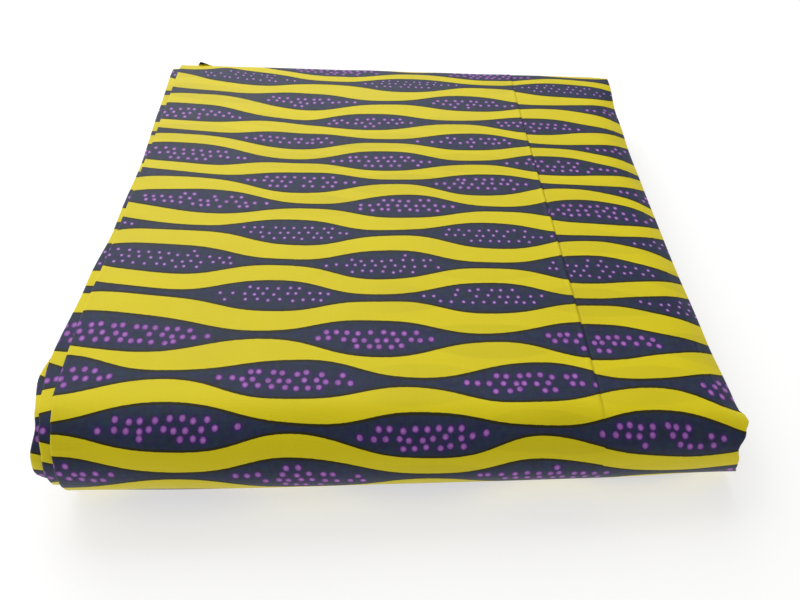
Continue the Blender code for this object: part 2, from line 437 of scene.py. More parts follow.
def metres(name, description, default):
    """A length that a user can change."""
    return amount(name, description, default, unit="LENGTH")


def tint(name, description, default):
    """A colour that a user can change."""
    return FloatVectorProperty(name=name, description=description, default=default, subtype="COLOR")


class PacketSizes(bpy.types.PropertyGroup):
    """Sizes of the folded packet."""

    width: metres("Width", "Between the side edges of the top face", 0.300)
    top_length: metres("Top length", "Back edge to where the front roll begins", 0.2815)
    reach_left: metres("Roll reach, left", "How far the front roll reaches forward", 0.0295)
    reach_right: metres("Roll reach, right", "How far the front roll reaches forward", 0.0212)
    height_left: metres("Height, left", "Height of the packet at its left edge", 0.0535)
    height_right: metres("Height, right", "Height of the packet at its right edge", 0.0405)
    leaf_wall: metres("Leaf thickness", "Thickness of one outer leaf of folded cloth", 0.0022)
    leaf_gap: metres("Leaf gap", "Air between two outer leaves", 0.0004)
    crease_drop: metres("Crease drop", "Step down at the long crease", 0.0014)
    crease_width: metres("Crease width", "Length of that step", 0.0014)
    swell: metres("Swell", "Height of the soft swells in the cloth", 0.0005)


class PrintSizes(bpy.types.PropertyGroup):
    """Sizes of the printed pattern, in millimetres of cloth."""

    first_row: amount("First row", "From the back edge to the first stripe", 19.0)
    row_scale: amount("Row scale", "Scale of the rows' spacing", 1.0)
    lens_spacing: amount("Lens spacing", "From one lens to the next", 108.0)
    first_lens: amount("First lens", "From the left edge to the first lens", 36.0)
    neck_share: amount("Neck", "Half width of a stripe at its narrowest, by the row pitch", 0.076)
    lens_share: amount("Lens", "What a lens adds to that half width, by the row pitch", 0.347)
    taper: amount("Taper", "How early a lens draws in towards its ends", 1.16)
    large_taper: amount("Large taper", "How much later a lens with large dots draws in", 0.26)
    large_dot: amount("Large dot", "Radius of a large dot", 1.40)
    small_dot: amount("Small dot", "Radius of a small dot", 0.85)
    dot_spacing: amount("Dot spacing", "From one dot to the next in its row", 5.3)
    dot_row: amount("Dot rows", "From one row of dots to the next", 4.1)
    dot_clearance: amount("Dot clearance", "From a small dot's middle to its lens's edge, at least", 2.8)
    large_clearance: amount("Large dot clearance", "How much more a large dot keeps clear", 1.2)
    outline: amount("Outline", "Half width of the dark outline", 0.6)
    thread: amount("Thread", "Pitch of the woven threads", 0.5)


class PrintColours(bpy.types.PropertyGroup):
    """Colours of the printed cotton."""

    ground: tint("Ground", "Yellow between the stripes", (0.73, 0.608, 0.004))
    stripe: tint("Stripe", "Navy of the stripes", (0.018, 0.027, 0.062))
    dot: tint("Dot", "Purple of the large dots", (0.375, 0.150, 0.465))
    small_dot: tint("Small dot", "Paler purple of the small dots", (0.54, 0.42, 0.66))
    rim: tint("Rim", "Deeper purple at the edge of a dot", (0.175, 0.038, 0.29))
    halo: tint("Halo", "Darker purple round each dot", (0.045, 0.010, 0.125))
    outline: tint("Outline", "Where navy dye overlaps the yellow", (0.021, 0.019, 0.002))
    # Paler colour along folds and raw edges: partly wear, partly a painted highlight on the fold ridges
    worn_and_highlit: tint("Worn and highlit fold", "Paler cotton along folds and raw edges", (0.82, 0.78, 0.58))


class StageLook(bpy.types.PropertyGroup):
    """The stage round the packet."""

    floor: tint("Floor", "Colour of the floor", (0.55, 0.55, 0.55))
    glow: amount("Floor glow", "Light given off by the floor", 0.55)
    sky: amount("Sky", "Strength of the light from all round", 0.46)
    key: amount("Key light", "Power of the light behind", 25.8, unit="POWER")
    side: amount("Side light", "Power of the light at the left", 5.0, unit="POWER")
    lens: amount("Lens", "Focal length of the camera", 31.5, subtype="DISTANCE_CAMERA")


def smooth(value):
    """An S curve from 0 to 1."""
    value = min(1.0, max(0.0, value))
    return value * value * (3.0 - 2.0 * value)


def fade_out(value, start, end):
    """1 up to the start, easing to 0 at the end."""
    return 1.0 - smooth((value - start) / (end - start))


def mix(low, high, share):
    return low + (high - low) * share


def hump(distance, width):
    """A smooth bump that is 1 at its middle and fades over its width."""
    return math.exp(-((distance / width) ** 2))


def table_value(rows, station, column):
    """Read a column of a table of edges, eased from row to row."""
    for before, after in zip(rows, rows[1:]):
        if station <= after[0]:
            share = (station - before[0]) / (after[0] - before[0])
            return mix(before[column], after[column], smooth(share))
    return rows[-1][column]


class Packet:
    """The shape of the packet's outer surface, and of any depth below it."""

    def __init__(self, sizes):
        self.sizes = sizes
        self.left = MIDDLE_X - sizes.width / 2
        self.right = MIDDLE_X + sizes.width / 2
        self.roll_y = BACK_Y - sizes.top_length
        self.leaf_pitch = sizes.leaf_wall + sizes.leaf_gap
        self.middle_crease = self.crease_x(MIDDLE_OF_TOP)

    def across(self, x):
        return (x - self.left) / self.sizes.width

    def height(self, x):
        return mix(self.sizes.height_left, self.sizes.height_right, self.across(x))

    def reach(self, x):
        plain = mix(self.sizes.reach_left, self.sizes.reach_right, self.across(x))
        at_left = ROLL_SETBACK_LEFT * hump(x - self.left, ROLL_SETBACK_WIDTH)
        return plain - at_left - ROLL_SETBACK_RIGHT * hump(x - self.right, ROLL_SETBACK_WIDTH)

    def crease_x(self, station):
        return self.left + mix(CREASE_AT_BACK, CREASE_AT_FRONT, smooth(station))

    def crease_fade(self, station):
        """How much of the crease is left towards the front, from 1 to 0."""
        return fade_out(station, CREASE_FADE_START, CREASE_FADE_END)

    def relief(self, x, station):
        """How far the top face stands above or below its plain height."""
        if station >= ROLL_FRONT:
            return 0.0
        width = self.sizes.crease_width
        crease = self.crease_x(station)
        past = x - crease
        step = -self.sizes.crease_drop * smooth(past / width)
        step += CREASE_RISE * smooth((past - width) / CREASE_RISE_WIDTH)
        step += LIP_RISE * hump(past + LIP_BEFORE, LIP_WIDTH) - FOOT_DIP * hump(past - width, FOOT_WIDTH)
        fade = self.crease_fade(station)
        fade *= mix(CREASE_SHARE_AT_BACK, 1.0, smooth(station / CREASE_FULL_STATION))
        edge = self.right + table_value(OUTER_LEAF_EDGES, station, 2)
        into_curl = max(0.0, 1.0 - (edge - x) / CURL_WIDTH)
        curl_fade = fade_out(station, CURL_FADE_START, CURL_FADE_END)
        curl_fade *= mix(CURL_SHARE_AT_BACK, 1.0, smooth(station / CURL_FULL_STATION))
        fuller = max(0.0, min((x - self.left) / (crease - self.left), (edge - x) / (edge - crease)))
        fuller *= smooth(station / FULL_START) * fade_out(station, FULL_FADE_START, FULL_FADE_END)
        rise = step * fade + FULL_RISE * fuller
        rise += OLD_FOLD_RISE * hump(edge - x - OLD_FOLD_IN, OLD_FOLD_WIDTH) * curl_fade
        into_dip = max(0.0, 1.0 - station * self.sizes.top_length / BACK_DIP_LENGTH)
        return rise - CURL_DROP * into_curl ** 2 * curl_fade - BACK_DIP * into_dip ** 2

    def tuck(self, x, station):
        """Cloth taken up inside the crease, so the print breaks there."""
        if station >= ROLL_FRONT:
            return 0.0
        past = smooth((x - self.crease_x(station)) / self.sizes.crease_width)
        return CREASE_TUCK * past * self.crease_fade(station)

    def swell(self, x, station):
        """Soft swells and dips of cloth that has lain folded."""
        if station >= ROLL_END:
            return 0.0
        broad, fine = (
            noise.noise(Vector((x * across, station * along, plane)))
            for across, along, plane in (BROAD_SWELL, FINE_SWELL)
        )
        fade = fade_out(station, SWELL_FADE_START, SWELL_FADE_END)
        return self.sizes.swell * (broad + FINE_SWELL_SHARE * fine) * fade

    def point(self, x, station, depth, back_over, lift_share):
        """A point at a depth below the packet's outer surface."""
        lift = self.relief(x, station) * lift_share
        depth -= self.swell(x, station) * lift_share
        height = self.height(x)
        back_y = BACK_Y + back_over
        if station <= ROLL_START:
            return Vector((x, mix(back_y, self.roll_y, station), height + lift - depth))
        if station >= ROLL_END:
            return Vector((x, mix(self.roll_y, back_y, station - ROLL_END), depth))
        turn = math.pi * (station - ROLL_START)
        y = self.roll_y - (self.reach(x) - depth) * math.sin(turn)
        z = height / 2 + (height / 2 - depth) * math.cos(turn)
        return Vector((x, y, z + lift * max(0.0, math.cos(turn))))


class Leaf(NamedTuple):
    """One leaf of the stack: its place in the packet's thickness and its loose edges."""

    name: str
    layer: int
    edges: tuple
    side_overs: tuple
    back_over: float
    print_start: tuple
    column_step: float
    station_step: float


def outer_leaves():
    """The three leaves that show their faces, outermost first."""
    return [
        Leaf(name, k, edges, (0.0, 0.0), -k * BACK_STEP, start, column_step, OUTER_STATION_STEP)
        for k, (name, edges, start, column_step) in enumerate(OUTER_LEAF_TABLE)
    ]


def hidden_leaves():
    """The six leaves inside the outer three, outermost first."""
    start_u, start_v = HIDDEN_PRINT_START
    return [
        Leaf(
            f"hidden_leaf_{k + 1}", OUTER_LEAVES + k, THIRD_LEAF_EDGES, (left_over, right_over), back_over,
            (start_u + k * HIDDEN_PRINT_STEP, start_v), HIDDEN_COLUMN_STEP, HIDDEN_STATION_STEP,
        )
        for k, (left_over, right_over, back_over) in enumerate(HIDDEN_LEAF_EDGES)
    ]


def leaf_depth(packet, leaf, x, level):
    """Depth below the outer surface, and share of the surface's relief, of a level in a leaf."""
    if leaf.layer < OUTER_LEAVES:
        return leaf.layer * packet.leaf_pitch + level * packet.sizes.leaf_wall, 1.0
    first = OUTER_LEAVES * packet.leaf_pitch + HIDDEN_CLEARANCE
    last = (packet.height(x) - CENTRE_SLIT) / 2
    share = (leaf.layer - OUTER_LEAVES + mix(*HIDDEN_LEAF_FILL, level)) / len(HIDDEN_LEAF_EDGES)
    return mix(first, last, share), 1.0 - share


def ridge_over(ridges, layer, level, along):
    """How far a ridged edge stands out on a level, each of its ridges on its own course."""
    count, reach, groove, waves, start = ridges
    ridge = min(count - 1, int(level * count))
    plane = layer * LEAVES_APART + RIDGE_PLANE
    course = noise.noise(Vector((along * waves + start, ridge * RIDGES_APART, plane)))
    from_middle = 2.0 * ((level * count) % 1.0) - 1.0
    setback = 1.0 - math.sqrt(max(0.0, 1.0 - from_middle ** 2))
    return reach * course - groove * setback


def leaf_sides(packet, leaf, station, level):
    """The leaf's left and right ends on a level at a station."""
    if leaf.layer < OUTER_LEAVES:
        left_over = table_value(leaf.edges, station, 1)
        right_over = table_value(leaf.edges, station, 2)
        left_ridges, right_ridges = OUTER_SIDE_RIDGES
    else:
        fan = table_value(leaf.edges, station, 1) - leaf.edges[-1][1]
        plane = leaf.layer + SIDE_WANDER_PLANE
        wander = SIDE_WANDER * noise.noise(Vector((station * SIDE_WANDER_WAVES, 0.0, plane)))
        left_over = leaf.side_overs[0] + fan * FAN_SHARE + wander
        right_over = leaf.side_overs[1] + wander
        left_ridges, right_ridges = HIDDEN_SIDE_RIDGES
    left_over += ridge_over(left_ridges, leaf.layer, level, station)
    right_over += ridge_over(right_ridges, leaf.layer, level, station)
    return packet.left - left_over, packet.right + right_over


def leaf_back(leaf, station, x, level):
    """How far the leaf's end reaches past the nominal back edge on a level."""
    if station not in BACK_RIDGES:
        return leaf.back_over
    return leaf.back_over + ridge_over(BACK_RIDGES[station], leaf.layer, level, x)


def spread(start, end, step):
    """Even places from start up to end, without end."""
    count = max(1, round(abs(end - start) / step))
    return [mix(start, end, index / count) for index in range(count)]


def column_shares(packet, step):
    """Where the columns of a leaf stand, counted from the left edge or, past the crease, from the right."""
    edges = {"left": packet.left, "crease": packet.middle_crease, "right": packet.right}
    marks = [(edges[edge] + offset, min(step, longest)) for edge, offset, longest in COLUMN_STEPS]
    places = [packet.left + offset for offset in LEFT_COLUMNS]
    for (start, longest), (end, _) in zip(marks, marks[1:]):
        places += spread(start, end, longest)
    places += [packet.right + offset for offset in RIGHT_COLUMNS]
    before = [place - packet.left for place in places if place < packet.middle_crease]
    after = [packet.right - place for place in places if place >= packet.middle_crease]
    return before, after


def place_columns(packet, shares, left, right, crease):
    """The columns of one row, stretched to its own ends and crease."""
    before, after = shares
    left_stretch = (crease - left) / (packet.middle_crease - packet.left)
    right_stretch = (right - crease) / (packet.right - packet.middle_crease)
    return [left + distance * left_stretch for distance in before] + [
        right - distance * right_stretch for distance in after
    ]


def leaf_stations(packet, leaf):
    """Stations from the back of the top to the back of the underside."""
    step = leaf.station_step / packet.sizes.top_length
    top = spread(TOP_START, ROLL_START, step)
    roll = spread(ROLL_START, ROLL_END, leaf.station_step / ROLL_LENGTH)
    under = spread(ROLL_END, UNDERSIDE_END, step * UNDERSIDE_STEP)
    return [*TOP_BACK_STATIONS, *top, *roll, *under, *UNDERSIDE_BACK_STATIONS]


def print_shift(packet, x, along):
    """How far the print lies from its plain place: over the back edge, and pulled back at the left."""
    from_left = x - packet.left
    pulled = fade_out(from_left, PULL_START, PULL_END)
    pull = PULL * math.exp(-along / PULL_REACH) * pulled
    taken_up = BACK_TAKE_UP * fade_out(along, 0.0, BACK_TAKE_UP_LENGTH) * mix(1.0, PULLED_TAKE_UP, pulled)
    back_at_left = SKEW + SKEW_GROWTH * (1.0 - fade_out(along, *SKEW_GROWS))
    back_at_left *= fade_out(from_left, 0.0, SKEW_LENGTH_LEFT) * fade_out(along, *SKEW_FADES_LEFT)
    on_at_right = SKEW * fade_out(packet.right - x, 0.0, SKEW_LENGTH_RIGHT)
    on_at_right *= fade_out(along, *SKEW_FADES_RIGHT)
    drawn_back = sum(
        back * hump(from_left - across, width) * hump(along - place, length)
        for across, place, width, length, back in DRAWN_BACK
    )
    return pull + back_at_left - on_at_right - taken_up + drawn_back


def leaf_points(packet, leaf, shares, station, level, sides_only):
    """Points across a leaf on one of its levels at a station."""
    left, right = leaf_sides(packet, leaf, station, level)
    columns = place_columns(packet, shares, left, right, packet.crease_x(station))
    if sides_only:
        columns = [columns[0], columns[-1]]
    points = []
    for x in columns:
        depth, lift_share = leaf_depth(packet, leaf, x, level)
        back_over = leaf_back(leaf, station, x, level)
        points.append(packet.point(x, station, depth, back_over, lift_share))
    return points


def place_in_cloth(packet, leaf, x, station, along, level, side):
    """Where a point lies in the print: the sides and ends of a leaf run on from its outer face."""
    into = level * packet.sizes.leaf_wall
    start_u, start_v = leaf.print_start
    u = x - packet.left + start_u + packet.tuck(x, station) + side * into
    v = along + print_shift(packet, x, along) + start_v
    if station == 0.0:
        v -= into
    if station == BACK_OF_UNDERSIDE:
        v += into
    return (u, v, 0.0)


def make_leaf(packet, leaf):
    """A leaf as closed mesh: its two faces, its rounded sides and its layered ends."""
    shares = column_shares(packet, leaf.column_step)
    solid = bmesh.new()
    cloth = solid.verts.layers.float_vector.new(CLOTH_PLACE)
    wear_and_highlight = solid.verts.layers.float.new(WEAR_AND_HIGHLIGHT)
    last = len(LEVELS) - 1
    face = None
    run = None
    grid = []
    for station in leaf_stations(packet, leaf):
        at_end = station in BACK_RIDGES
        rows = []
        for index, level in enumerate(LEVELS):
            inside = 0 < index < last
            points = leaf_points(packet, leaf, shares, station, level, inside and not at_end)
            if index == 0:
                if face is None:
                    run = [0.0] * len(points)
                else:
                    run = [done + (there - here).length for done, here, there in zip(run, face, points)]
                face = points
            runs = run if len(points) == len(run) else [run[0], run[-1]]
            sides = [-1] + [0] * (len(points) - 2) + [1]
            row = []
            for point, along, side in zip(points, runs, sides):
                vertex = solid.verts.new(point)
                vertex[cloth] = place_in_cloth(packet, leaf, point.x, station, along, level, side)
                # The rounded sides and layered ends are marked for paler colour: partly wear, partly a
                # painted highlight on the fold ridges
                vertex[wear_and_highlight] = 1.0 if side or (at_end and inside) else 0.0
                row.append(vertex)
            rows.append(row)
        grid.append(rows)
    join_leaf(solid, grid)
    return finish_cloth(leaf.name + "_cloth", solid)


def join_leaf(solid, grid):
    """Faces between the rows of a leaf, and across both of its ends."""
    last = len(LEVELS) - 1
    for here, there in zip(grid, grid[1:]):
        for level, flip in ((0, False), (last, True)):
            for k in range(len(here[level]) - 1):
                corners = (here[level][k], there[level][k], there[level][k + 1], here[level][k + 1])
                solid.faces.new(corners[::-1] if flip else corners)
        for level in range(last):
            low, high = level, level + 1
            solid.faces.new((here[low][0], here[high][0], there[high][0], there[low][0]))
            solid.faces.new((here[low][-1], there[low][-1], there[high][-1], here[high][-1]))
    for rows, flip in ((grid[0], False), (grid[-1], True)):
        for level in range(last):
            low, high = rows[level], rows[level + 1]
            for k in range(len(low) - 1):
                corners = (low[k], low[k + 1], high[k + 1], high[k])
                solid.faces.new(corners[::-1] if flip else corners)


def corner_crest(share):
    """How far the turned-up corner rises at a share of its width."""
    if share < CORNER_PEAK:
        rise = smooth(share / CORNER_PEAK) ** CORNER_STEEPNESS
    else:
        past = (share - CORNER_PEAK) / (1.0 - CORNER_PEAK)
        rise = 1.0 - CORNER_FALL * past ** CORNER_FALL_STEEPNESS
    return CORNER_LOW + CORNER_RISE * rise


def corner_path(packet, x, crest):
    """Places along the corner's cloth at x, from its root to its crest, each with its outward way."""
    path = []
    for step in range(CORNER_ROOT_ROWS):
        inside = CORNER_ROOT * (1.0 - step / CORNER_ROOT_ROWS)
        point = packet.point(x, inside / packet.sizes.top_length, CORNER_DEPTH, 0.0, 1.0)
        path.append((point, CORNER_OUT_AT_ROOT))
    base = packet.point(x, 0.0, CORNER_DEPTH, 0.0, 1.0)
    turn = Vector((0.0, CORNER_TURN_BACK * CORNER_BEHIND, 0.0))
    path.append((base + turn, CORNER_OUT_AT_TURN))
    for step in range(CORNER_ROWS + 1):
        up = mix(CORNER_TURN_UP * CORNER_BEHIND, crest, step / CORNER_ROWS)
        lean = CORNER_LEAN * up + CORNER_WAVE * math.sin(CORNER_WAVES * x)
        path.append((base + Vector((0.0, CORNER_BEHIND + lean, up)), CORNER_OUT_STANDING))
    return path


def make_turned_corner(packet):
    """The turned-up corner of the second leaf, as a thin closed piece of cloth."""
    solid = bmesh.new()
    cloth = solid.verts.layers.float_vector.new(CLOTH_PLACE)
    wear_and_highlight = solid.verts.layers.float.new(WEAR_AND_HIGHLIGHT)
    start_u, start_v = CORNER_PRINT_START
    sheets = ([], [])
    for column in range(CORNER_COLUMNS + 1):
        share = column / CORNER_COLUMNS
        x = packet.left + CORNER_LEFT + share * CORNER_WIDTH
        path = corner_path(packet, x, corner_crest(share))
        for rows, side in zip(sheets, (-0.5, 0.5)):
            row = []
            along = 0.0
            before = path[0][0]
            for point, outward in path:
                along += (point - before).length
                before = point
                vertex = solid.verts.new(point + outward * side * CORNER_THICKNESS)
                vertex[cloth] = (start_u + x - packet.left, start_v + along, 0.0)
                # The corner's crest is marked for paler colour: partly wear, partly a painted highlight on
                # its fold
                vertex[wear_and_highlight] = 1.0 if point is path[-1][0] else 0.0
                row.append(vertex)
            rows.append(row)
    inner, outer = sheets
    last = len(inner[0]) - 1
    quads = []
    for here, there, low, high in zip(inner, inner[1:], outer, outer[1:]):
        for step in range(last):
            quads.append((here[step], here[step + 1], there[step + 1], there[step]))
            quads.append((low[step], high[step], high[step + 1], low[step + 1]))
        quads.append((here[last], low[last], high[last], there[last]))
        quads.append((here[0], there[0], high[0], low[0]))
    for step in range(last):
        quads.append((inner[0][step], outer[0][step], outer[0][step + 1], inner[0][step + 1]))
        quads.append((inner[-1][step], inner[-1][step + 1], outer[-1][step + 1], outer[-1][step]))
    for quad in quads:
        solid.faces.new(quad)
    bmesh.ops.recalc_face_normals(solid, faces=solid.faces)
    return finish_cloth("turned_corner_cloth", solid)


def finish_cloth(name, solid):
    """Turn a bmesh into a smooth object whose UV map holds metres of cloth."""
    mesh = bpy.data.meshes.new(name)
    solid.to_mesh(mesh)
    solid.free()
    places = mesh.attributes[CLOTH_PLACE]
    coordinates = [0.0] * (3 * len(mesh.vertices))
    places.data.foreach_get("vector", coordinates)
    mesh.attributes.remove(places)
    layer = mesh.uv_layers.new(name=CLOTH_MAP)
    for loop in mesh.loops:
        start = 3 * loop.vertex_index
        layer.uv[loop.index].vector = coordinates[start:start + 2]
    mesh.shade_smooth()
    piece = bpy.data.objects.new(name, mesh)
    bpy.context.scene.collection.objects.link(piece)
    return piece


def math_method(operation, reflected=False):
    """A method that adds a Math node, with its own number as the first value or the last."""

    def method(self, *others):
        values = (*others, self) if reflected else (self, *others)
        return self.paint.node("ShaderNodeMath", {"operation": operation}, *values)

    return method


class Value:
    """A number in a material: arithmetic on it adds Math nodes."""

    def __init__(self, paint, socket):
        self.paint = paint
        self.socket = socket

    __add__ = __radd__ = math_method("ADD")
    __mul__ = __rmul__ = math_method("MULTIPLY")
    __sub__ = math_method("SUBTRACT")
    __rsub__ = math_method("SUBTRACT", reflected=True)
    __truediv__ = math_method("DIVIDE")
    __rtruediv__ = math_method("DIVIDE", reflected=True)
    __mod__ = math_method("FLOORED_MODULO")
    __rmod__ = math_method("FLOORED_MODULO", reflected=True)
    __pow__ = math_method("POWER")
    __rpow__ = math_method("POWER", reflected=True)
    __gt__ = math_method("GREATER_THAN")
    __lt__ = math_method("LESS_THAN")
    __abs__ = math_method("ABSOLUTE")
    floor = math_method("FLOOR")
    sine = math_method("SINE")
    cosine = math_method("COSINE")

    def clamped(self):
        return self.paint.node("ShaderNodeMath", {"operation": "ADD", "use_clamp": True}, self, 0.0)

    def within(self, width):
        """1 where the number is below zero, with a soft edge of this width."""
        return (0.5 - self / width).clamped()


class Paint:
    """A material's node tree and the one method that adds a node to it."""

    def __init__(self, name):
        self.material = bpy.data.materials.new(name)
        self.material.use_nodes = True
        self.tree = self.material.node_tree
        self.shader = self.tree.nodes["Principled BSDF"]

    def plug(self, socket, value):
        if isinstance(value, Value):
            self.tree.links.new(value.socket, socket)
        elif value is not None:
            socket.default_value = value

    def node(self, kind, settings=None, *values, output=0, **named):
        """Add a node: its settings first, then its sockets in order or by name."""
        node = self.tree.nodes.new(kind)
        for setting, value in (settings or {}).items():
            if setting == "stops":
                self.set_stops(node.color_ramp, value)
            elif setting == "interpolation":
                node.color_ramp.interpolation = value
            else:
                setattr(node, setting, value)
        for socket, value in zip(node.inputs, values):
            self.plug(socket, value)
        for name, value in named.items():
            self.plug(node.inputs[name], value)
        return Value(self, node.outputs[output])

    def set_stops(self, ramp, stops):
        while len(ramp.elements) < len(stops):
            ramp.elements.new(1.0)
        for element, (place, colour) in zip(ramp.elements, stops):
            element.position = place
            element.color = (*colour, 1.0)

    def parts(self, vector):
        """The three parts of a vector or colour, as numbers."""
        first = self.node("ShaderNodeSeparateXYZ", None, vector)
        return [Value(self, output) for output in first.socket.node.outputs]

    def vector(self, x, y):
        return self.node("ShaderNodeCombineXYZ", None, x, y)

    def noise(self, vector, scale, detail=2.0, output=0):
        return self.node(
            "ShaderNodeTexNoise", {"noise_dimensions": "2D"}, output=output,
            Vector=vector, Scale=scale, Detail=detail,
        )

    def eased(self, value, start, end, low, high):
        """Runs softly from low to high as a number runs from start to end."""
        settings = {"interpolation_type": "SMOOTHSTEP"}
        return self.node("ShaderNodeMapRange", settings, value, start, end, low, high)

    def colour_mix(self, share, low, high, blend="MIX"):
        """Low where share is 0 and high where it is 1."""
        colours = [(*colour, 1.0) if isinstance(colour, tuple) else colour for colour in (low, high)]
        number_and_vector_sockets = [None] * 5
        return self.node(
            "ShaderNodeMix", {"data_type": "RGBA", "blend_type": blend},
            share, *number_and_vector_sockets, *colours, output=2,
        )

    def toned(self, colour, tone):
        """A colour made paler or darker by a tone."""
        grey = self.node("ShaderNodeCombineColor", None, tone, tone, tone)
        return self.colour_mix(1.0, colour, grey, "MULTIPLY")

    def finish(self, sockets):
        """Fill the shader's sockets by their names."""
        for name, value in sockets.items():
            self.plug(self.shader.inputs[name], value)


def repeat_length():
    """Length of the charted repeat across its rows, in millimetres."""
    return sum(row[0] for row in PRINT_ROWS)


def row_number(paint, sizes, along):
    """Which row a place lies in, as a number that runs smoothly from row to row."""
    count = len(PRINT_ROWS)
    length = repeat_length()
    stops = []
    place = 0.0
    for row, charted in enumerate(PRINT_ROWS):
        stops.append((place / length, (row / count,) * 3))
        place += charted[0]
    stops.append((1.0, (1.0, 1.0, 1.0)))
    repeats = (along - sizes.first_row) / (length * sizes.row_scale)
    whole = repeats.floor()
    share = paint.node("ShaderNodeValToRGB", {"interpolation": "LINEAR", "stops": stops}, repeats - whole)
    return (paint.parts(share)[0] + whole) * count


def row_chart(paint, row):
    """A row's charted shift in millimetres, size of dots and fullness of lenses."""
    count = len(PRINT_ROWS)
    stops = []
    for index, (_, shift, size, fullness) in enumerate(PRINT_ROWS):
        stops.append((index / count, (shift / SHIFT_RANGE + 0.5, size, fullness / FULLNESS_RANGE)))
    place = (row % count + 0.5) / count
    chart = paint.node("ShaderNodeValToRGB", {"interpolation": "CONSTANT", "stops": stops}, place)
    shift, size, fullness = paint.parts(chart)
    return (shift - 0.5) * SHIFT_RANGE, size, fullness * FULLNESS_RANGE


def stripe(paint, sizes, across, along):
    """Distance outside the nearest stripe, less than 0 inside it, and its dot size."""
    rows = row_number(paint, sizes, along)
    row = (rows + 0.5).floor()
    shift, size, fullness = row_chart(paint, row)
    drop = (row % 2.0) * (sizes.lens_spacing / 2)
    turn = (across - sizes.first_lens - drop - shift) * (2 * math.pi / sizes.lens_spacing)
    wave = turn.cosine() * 0.5 + 0.5
    rounded = (wave + wave * wave * (3.0 - wave * 2.0)) * 0.5
    swelling = rounded ** (sizes.taper - size * size * sizes.large_taper) * fullness
    lean = (turn + row * LEAN_TURN).sine() * LEAN
    off_centre = abs(rows - row + lean)
    mean_pitch = repeat_length() / len(PRINT_ROWS)
    distance = (off_centre - swelling * sizes.lens_share - sizes.neck_share) * mean_pitch
    return distance, size


def chances(paint, x, y):
    """Three random numbers that belong to a pair of whole numbers."""
    settings = {"noise_dimensions": "2D"}
    drawn = paint.node("ShaderNodeTexWhiteNoise", settings, output="Color", Vector=paint.vector(x, y))
    return paint.parts(drawn)


def dots(paint, sizes, across, along):
    """Distance outside the nearest dot that a lens holds whole, less than 0 inside it, and its size."""
    row = (along / sizes.dot_row).floor()
    stagger = (row % 2.0) * 0.5 + chances(paint, row, BETWEEN_COLUMNS)[0] * DOT_STAGGER
    column = (across / sizes.dot_spacing + stagger).floor()
    sideways, lengthways, kept = chances(paint, column, row)
    centre_across = (column + 0.5 - stagger + (sideways - 0.5) * DOT_UNEVEN_ACROSS) * sizes.dot_spacing
    centre_along = (row + 0.5 + (lengthways - 0.5) * DOT_UNEVEN_ALONG) * sizes.dot_row
    from_edge, size = stripe(paint, sizes, *drifted(paint, centre_across, centre_along))
    radius = size * (sizes.large_dot - sizes.small_dot) + sizes.small_dot
    aside = across - centre_across
    ahead = (along - centre_along) / DOT_LENGTH
    distance = (aside * aside + ahead * ahead) ** 0.5 - radius
    left_out = (from_edge + size * sizes.large_clearance + sizes.dot_clearance) > 0.0
    skipped = kept > DOTS_KEPT
    return distance + (left_out + skipped) * NO_DOT, size


def drifted(paint, across, along):
    """A place moved as the hand-drawn lenses drift from their even places, and outwards at the sides."""
    wander = paint.noise(paint.vector(across, along), DRIFT_SCALE, detail=1.0, output="Color")
    sideways, lengthways, _ = paint.parts(wander)
    out_at_edges = paint.eased(across, *OUT_AT_LEFT_EDGE) * paint.eased(along, *PAST_FIRST_ROW)
    out_at_edges = (out_at_edges - paint.eased(across, *OUT_AT_RIGHT)) * paint.eased(along, *BEHIND_ROLL)
    outwards = paint.eased(across, *OUT_AT_LEFT) + out_at_edges
    return across + (sideways - 0.5) * DRIFT[0] + outwards, along + (lengthways - 0.5) * DRIFT[1]


def weave(paint, sizes, across, along):
    """Height of the woven threads, and the paler and darker threads among them."""
    turn = 2 * math.pi / sizes.thread
    threads = (across * turn).sine() * (along * turn).sine()
    warp_threads = paint.noise(paint.vector(across * ACROSS_THREADS, along * ALONG_THREADS), 1.0)
    weft_threads = paint.noise(paint.vector(across * ALONG_THREADS, along * ACROSS_THREADS), 1.0)
    return threads, warp_threads + weft_threads - 1.0


